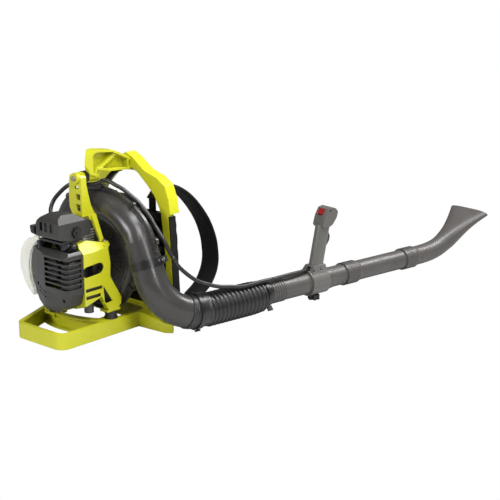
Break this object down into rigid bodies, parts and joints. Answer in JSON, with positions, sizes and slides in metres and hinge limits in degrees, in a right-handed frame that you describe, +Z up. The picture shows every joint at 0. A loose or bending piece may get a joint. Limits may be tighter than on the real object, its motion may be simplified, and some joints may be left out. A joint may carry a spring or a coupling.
{
  "type": "backpack leaf blower",
  "caption": "Engine-driven blower carried on the back: fan housing in a carrying frame with harness, swivel elbow, flexible hose, control handle and flared nozzle.",
  "frame": {"origin": "on the floor, on the flat underside of the foot frame's curved cross band, on the machine's centre plane", "axes": "+X forward, the way the blower tube points; +Y to the wearer's left; +Z up"},
  "size_m": [1.4016, 0.6476, 0.462],
  "materials": {
    "lime_plastic": "satin",
    "charcoal_plastic": "satin",
    "grey_plastic": "satin",
    "black_plastic": "satin",
    "black_fabric": "woven",
    "rubber": "matt",
    "tank_plastic": "translucent white",
    "aluminium": "cast",
    "steel": "satin",
    "chrome": "polished",
    "red_plastic": "gloss",
    "foam": "open foam",
    "rope": "braided",
    "fuel_hose": "clear yellow"
  },
  "bodies": {
    "machine": {"base_frame": "lime_plastic", "back_frame": "lime_plastic", "rubber_isolators": "rubber", "frame_bolts": "steel", "back_panel": "black_plastic", "back_pad": "black_fabric", "lumbar_pad": "black_fabric", "shoulder_straps": "black_fabric", "webbing": "black_fabric", "buckles": "black_plastic", "arm": "lime_plastic", "volute_rear": "charcoal_plastic", "volute_front": "charcoal_plastic", "intake_grille": "black_plastic", "volute_bolts": "steel", "outlet_collar": "black_plastic", "collar_screw": "chrome", "shroud": "lime_plastic", "starter_cover": "charcoal_plastic", "cover_screws": "steel", "ignition_coil": "black_plastic", "crankcase": "aluminium", "cylinder_block": "aluminium", "spark_plug": "rubber", "muffler": "steel", "carburettor": "black_plastic", "filter_element": "foam", "filter_cover": "grey_plastic", "fuel_tank": "tank_plastic", "fuel_line": "fuel_hose", "loom_engine": "rubber"},
    "rotor": {"crankshaft": "steel", "flywheel": "aluminium", "impeller": "charcoal_plastic"},
    "piston": {"piston": "aluminium", "connecting_rod": "steel"},
    "starter_pulley": {"starter_pulley": "black_plastic"},
    "starter_handle": {"starter_rope": "rope", "starter_handle": "black_plastic"},
    "throttle_lever": {"throttle_lever": "steel"},
    "choke_lever": {"choke_lever": "black_plastic"},
    "primer_bulb": {"primer_bulb": "rubber"},
    "filter_knob": {"filter_knob": "black_plastic"},
    "fuel_cap": {"fuel_cap": "black_plastic"},
    "elbow": {"elbow": "charcoal_plastic", "bellows": "rubber", "hose_clamp_rear": "black_plastic", "loom_elbow": "rubber"},
    "wing_screw_rear": {"wing_screw_rear": "black_plastic"},
    "front_tube": {"tube_1": "charcoal_plastic", "hose_clamp_front": "black_plastic", "loom_hose": "rubber"},
    "wing_screw_front": {"wing_screw_front": "black_plastic"},
    "middle_tube": {"tube_2": "charcoal_plastic"},
    "nozzle": {"nozzle": "charcoal_plastic"},
    "handle": {"grip_halves": "grey_plastic", "loom_tube": "rubber"},
    "handle_knob": {"handle_knob": "black_plastic"},
    "trigger": {"trigger": "black_plastic"},
    "rocker_switch": {"rocker_switch": "red_plastic"}
  },
  "joints": [
    {"name": "rotor_spin", "type": "hinge", "parent": "machine", "child": "rotor", "pos_m": [0.05, 0, 0.188], "axis": [1, 0, 0], "continuous": true},
    {"name": "piston_stroke", "type": "slide", "parent": "machine", "child": "piston", "axis": [0, 0, 1], "range_m": [-0.015, 0.015]},
    {"name": "pulley_turn", "type": "hinge", "parent": "machine", "child": "starter_pulley", "pos_m": [-0.073, 0, 0.188], "axis": [1, 0, 0], "range_deg": [0, 921]},
    {"name": "starter_pull", "type": "slide", "parent": "machine", "child": "starter_handle", "axis": [0, 0.1908, 0.9816], "range_m": [0, 0.45], "stiffness_N_per_m": 4, "springref_m": -0.15, "deforming": ["starter_rope"]},
    {"name": "throttle_swing", "type": "hinge", "parent": "machine", "child": "throttle_lever", "pos_m": [-0.03, -0.03, 0.236], "axis": [0, 1, 0], "range_deg": [0, 75]},
    {"name": "choke_swing", "type": "hinge", "parent": "machine", "child": "choke_lever", "pos_m": [-0.068, -0.04, 0.24], "axis": [1, 0, 0], "range_deg": [-10, 55]},
    {"name": "primer_press", "type": "slide", "parent": "machine", "child": "primer_bulb", "axis": [0, 1, 0], "range_m": [0, 0.0015], "stiffness_N_per_m": 600},
    {"name": "filter_knob_turn", "type": "hinge", "parent": "machine", "child": "filter_knob", "pos_m": [-0.039, -0.06, 0.279], "axis": [0, -1, 0], "continuous": true},
    {"name": "fuel_cap_turn", "type": "hinge", "parent": "machine", "child": "fuel_cap", "pos_m": [0.008, 0.122, 0.245], "axis": [0, 0, 1], "continuous": true},
    {"name": "elbow_swivel", "type": "hinge", "parent": "machine", "child": "elbow", "pos_m": [0.108, -0.147, 0.184], "axis": [0, -0.3907, -0.9205], "range_deg": [0, 45], "deforming": ["loom_elbow"]},
    {"name": "rear_wing_turn", "type": "hinge", "parent": "elbow", "child": "wing_screw_rear", "pos_m": [0.20423, -0.22879, 0.00743], "axis": [-0.0365, -0.2392, -0.9703], "continuous": true},
    {"name": "hose_flex", "type": "hinge", "parent": "elbow", "child": "front_tube", "pos_m": [0.33099, -0.23664, 0.05303], "axis": [-0.1509, -0.9885, 0], "range_deg": [0, 35], "deforming": ["bellows", "loom_hose"]},
    {"name": "front_wing_turn", "type": "hinge", "parent": "front_tube", "child": "wing_screw_front", "pos_m": [0.42921, -0.2758, 0.0265], "axis": [-0.101, -0.6615, -0.7431], "continuous": true},
    {"name": "middle_tube_twist", "type": "hinge", "parent": "front_tube", "child": "middle_tube", "pos_m": [0.72444, -0.29671, 0.05303], "axis": [0.9885, -0.1509, 0], "range_deg": [-30, 30]},
    {"name": "nozzle_twist", "type": "hinge", "parent": "middle_tube", "child": "nozzle", "pos_m": [0.96465, -0.33338, 0.05303], "axis": [0.9885, -0.1509, 0], "range_deg": [-30, 30]},
    {"name": "handle_slide", "type": "slide", "parent": "front_tube", "child": "handle", "axis": [0.9885, -0.1509, 0], "range_m": [-0.03, 0.02], "deforming": ["loom_tube"]},
    {"name": "handle_knob_turn", "type": "hinge", "parent": "handle", "child": "handle_knob", "pos_m": [0.61866, -0.28056, 0.00903], "axis": [0, 0, -1], "continuous": true},
    {"name": "trigger_squeeze", "type": "hinge", "parent": "handle", "child": "trigger", "pos_m": [0.6485, -0.28512, 0.1866], "axis": [0.1509, 0.9885, 0], "range_deg": [0, 16], "stiffness_Nm_per_rad": 0.6},
    {"name": "rocker_tilt", "type": "hinge", "parent": "handle", "child": "rocker_switch", "pos_m": [0.64436, -0.28448, 0.24603], "axis": [0.1509, 0.9885, 0], "range_deg": [-9, 9]}
  ],
  "couplings": [
    {"joint": "pulley_turn", "follows": "starter_pull", "rad_per_m": 35.714},
    {"joint": "throttle_swing", "follows": "trigger_squeeze", "ratio": 4}
  ]
}
